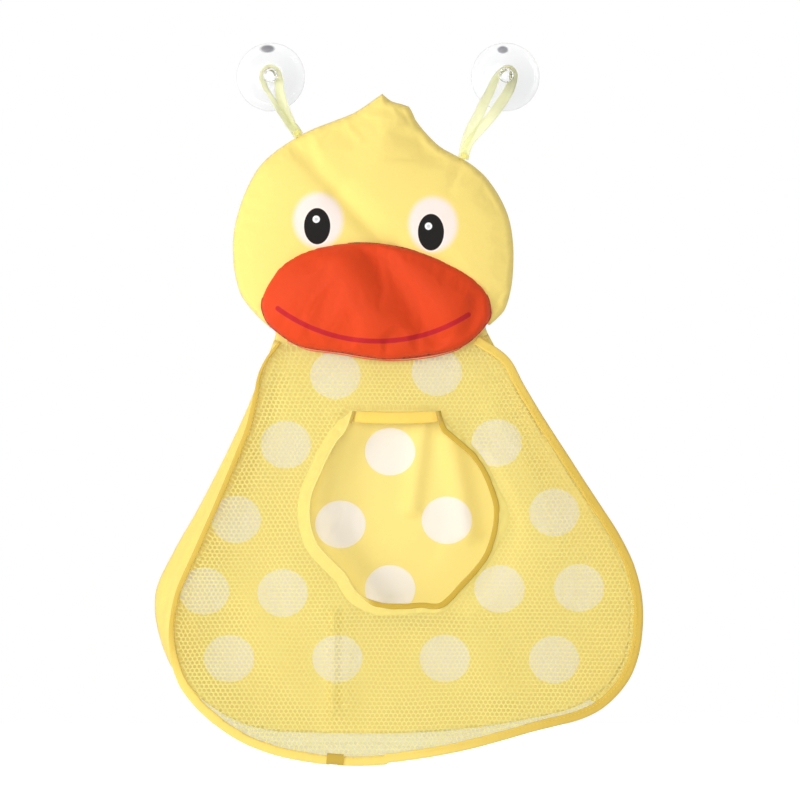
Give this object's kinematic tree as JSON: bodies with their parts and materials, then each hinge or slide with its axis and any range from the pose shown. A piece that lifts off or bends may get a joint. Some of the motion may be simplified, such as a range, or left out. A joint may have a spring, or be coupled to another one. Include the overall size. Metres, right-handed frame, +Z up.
{
  "type": "bath toy organizer",
  "caption": "Duck-shaped bath toy bag with a net front, padded head and bill flap, hung from suction cups by ribbon loops.",
  "frame": {"origin": "on the wall plane, midway between the centres of the two suction cups", "axes": "+X to the right seen from the front, +Z up, +Y into the wall, so the front faces -Y"},
  "size_m": [0.3519, 0.0478, 0.5196],
  "materials": {
    "clear_pvc": "clear soft moulded, glossy",
    "ribbon": "satin woven ribbon",
    "face_fabric": "printed polyester, fine weave",
    "bill_fabric": "printed polyester, fine weave",
    "dotted_fabric": "polyester printed with white dots",
    "net": "knitted polyester net",
    "gusset_fabric": "plain polyester",
    "binding_tape": "folded woven tape, stitched",
    "drain_mesh": "knitted polyester mesh",
    "wadding": "polyester wadding",
    "thread": "dense stitching",
    "elastic": "flat woven elastic"
  },
  "bodies": {
    "wall_cups": {"suction_cup_left": "clear_pvc", "suction_cup_right": "clear_pvc"},
    "bag": {"hanging_ribbon_left": "ribbon", "hanging_ribbon_right": "ribbon", "ribbon_tack_left": "thread", "ribbon_tack_right": "thread", "head_front_panel": "face_fabric", "head_padding": "wadding", "head_lining": "face_fabric", "back_panel": "dotted_fabric", "front_net": "net", "side_gusset_left": "gusset_fabric", "side_gusset_right": "gusset_fabric", "base_gusset": "drain_mesh", "net_binding_left": "binding_tape", "net_binding_right": "binding_tape", "binding_lap": "binding_tape", "mouth_lip": "bill_fabric", "belly_rim": "binding_tape", "belly_hem": "gusset_fabric", "belly_elastic": "elastic"},
    "bill": {"bill_front_panel": "bill_fabric", "bill_padding": "wadding", "bill_lining": "bill_fabric"}
  },
  "joints": [
    {"name": "bag_swing", "type": "hinge", "parent": "wall_cups", "child": "bag", "pos_m": [0, -0.0133, 0], "axis": [-1, 0, 0], "range_deg": [0, 75], "deforming": ["hanging_ribbon_left", "hanging_ribbon_right"]},
    {"name": "bill_lift", "type": "hinge", "parent": "bag", "child": "bill", "pos_m": [0, -0.0155, -0.1204], "axis": [-1, 0, 0], "range_deg": [0, 60]}
  ]
}
